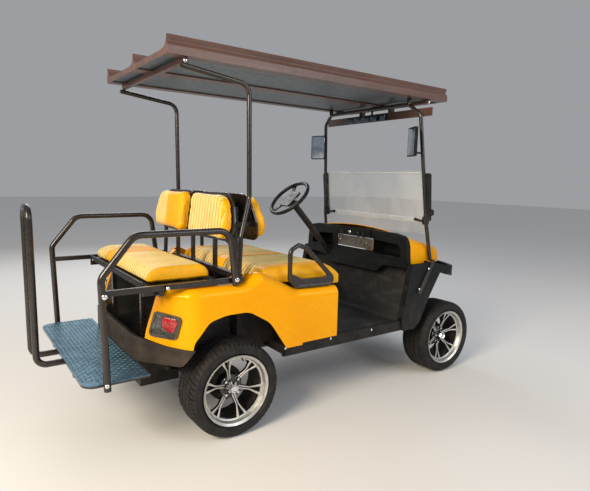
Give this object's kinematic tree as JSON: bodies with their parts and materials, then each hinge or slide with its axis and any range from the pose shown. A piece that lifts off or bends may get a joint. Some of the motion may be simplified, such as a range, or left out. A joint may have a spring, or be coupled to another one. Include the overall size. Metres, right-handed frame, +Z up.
{
  "type": "golf cart",
  "caption": "Open golf cart with a flat-pan roof, a front bench, a rear-facing flip seat over a foot plate, and low-profile road tyres on deep-lipped rims.",
  "frame": {"origin": "on the ground under the middle of the overall length, on the centre plane", "axes": "+X forward along the length, +Y to the cart's left, +Z up"},
  "size_m": [2.811, 1.215, 1.972],
  "materials": {
    "tyre": "matt",
    "wheel_metal": "machined",
    "body_paint": "gloss",
    "seat_vinyl": "satin",
    "black_plastic": "textured",
    "roof_trim": "satin",
    "roof_skin": "satin",
    "clear_screen": "clear",
    "lamp_lens": "gloss",
    "chequer_plate": "worn",
    "black_tube": "gloss",
    "grip": "satin",
    "chassis_paint": "matt"
  },
  "bodies": {
    "chassis": {"battery_block": "chassis_paint", "dash": "black_plastic", "floor_pan": "black_plastic", "foot_frame": "black_tube", "foot_plate": "chequer_plate", "front_aprons": "black_plastic", "front_axle": "chassis_paint", "front_backrests": "seat_vinyl", "front_bumper": "black_plastic", "front_cowl": "body_paint", "front_posts": "black_tube", "grab_bar": "black_tube", "headlights": "lamp_lens", "hip_restraints": "black_tube", "main_frame": "chassis_paint", "mirrors": "black_plastic", "motor_block": "chassis_paint", "pedals": "black_plastic", "rear_axle": "chassis_paint", "rear_backrests": "seat_vinyl", "rear_body": "body_paint", "rear_bumper": "black_plastic", "rear_seat_frame": "black_tube", "rear_struts": "black_tube", "rocker_trim": "black_plastic", "roof_beams": "roof_trim", "roof_fascia": "roof_trim", "roof_pan": "roof_skin", "seat_back_frame": "black_tube", "side_rails": "black_tube", "springs": "chassis_paint", "steering_column": "chassis_paint", "tail_lights": "lamp_lens", "windshield": "clear_screen"},
    "wheel_front_left": {"tyre_front_left": "tyre", "rim_front_left": "wheel_metal"},
    "wheel_front_right": {"tyre_front_right": "tyre", "rim_front_right": "wheel_metal"},
    "wheel_rear_left": {"tyre_rear_left": "tyre", "rim_rear_left": "wheel_metal"},
    "wheel_rear_right": {"tyre_rear_right": "tyre", "rim_rear_right": "wheel_metal"},
    "knuckle_left": {"knuckle_left": "chassis_paint"},
    "knuckle_right": {"knuckle_right": "chassis_paint"},
    "tie_rod": {"tie_rod": "chassis_paint"},
    "steering_wheel": {"steering_wheel": "grip"},
    "bench_lid": {"front_seat_base": "black_plastic", "front_cushion": "seat_vinyl"},
    "flip_deck": {"rear_deck": "black_plastic", "rear_cushion": "seat_vinyl"}
  },
  "joints": [
    {"name": "front_left_roll", "type": "hinge", "parent": "knuckle_left", "child": "wheel_front_left", "pos_m": [1.1435, 0.505, 0.253], "axis": [0, 1, 0], "continuous": true},
    {"name": "front_right_roll", "type": "hinge", "parent": "knuckle_right", "child": "wheel_front_right", "pos_m": [1.1435, -0.505, 0.253], "axis": [0, 1, 0], "continuous": true},
    {"name": "rear_left_roll", "type": "hinge", "parent": "chassis", "child": "wheel_rear_left", "pos_m": [-0.5445, 0.505, 0.253], "axis": [0, 1, 0], "continuous": true},
    {"name": "rear_right_roll", "type": "hinge", "parent": "chassis", "child": "wheel_rear_right", "pos_m": [-0.5445, -0.505, 0.253], "axis": [0, 1, 0], "continuous": true},
    {"name": "steer_left", "type": "hinge", "parent": "chassis", "child": "knuckle_left", "pos_m": [1.1435, 0.394, 0.253], "axis": [0, 0, 1], "range_deg": [-25, 25]},
    {"name": "steer_right", "type": "hinge", "parent": "chassis", "child": "knuckle_right", "pos_m": [1.1435, -0.394, 0.253], "axis": [0, 0, 1], "range_deg": [-25, 25]},
    {"name": "steering_turn", "type": "hinge", "parent": "chassis", "child": "steering_wheel", "pos_m": [0.3665, 0.28, 1.204], "axis": [-0.6858, 0, 0.7278], "range_deg": [-450, 450]},
    {"name": "tie_rod_shift", "type": "slide", "parent": "chassis", "child": "tie_rod", "axis": [0, -1, 0], "range_m": [-0.053, 0.053]},
    {"name": "bench_lift", "type": "hinge", "parent": "chassis", "child": "bench_lid", "pos_m": [-0.3795, 0, 0.8], "axis": [0, -1, 0], "range_deg": [0, 50]},
    {"name": "deck_flip", "type": "hinge", "parent": "chassis", "child": "flip_deck", "pos_m": [-0.9835, 0, 0.837], "axis": [0, -1, 0], "range_deg": [0, 180]}
  ],
  "couplings": [
    {"joint": "steer_left", "follows": "steering_turn", "ratio": 0.055556},
    {"joint": "steer_right", "follows": "steering_turn", "ratio": 0.055556},
    {"joint": "tie_rod_shift", "follows": "steering_turn", "m_per_rad": 0.006457}
  ]
}
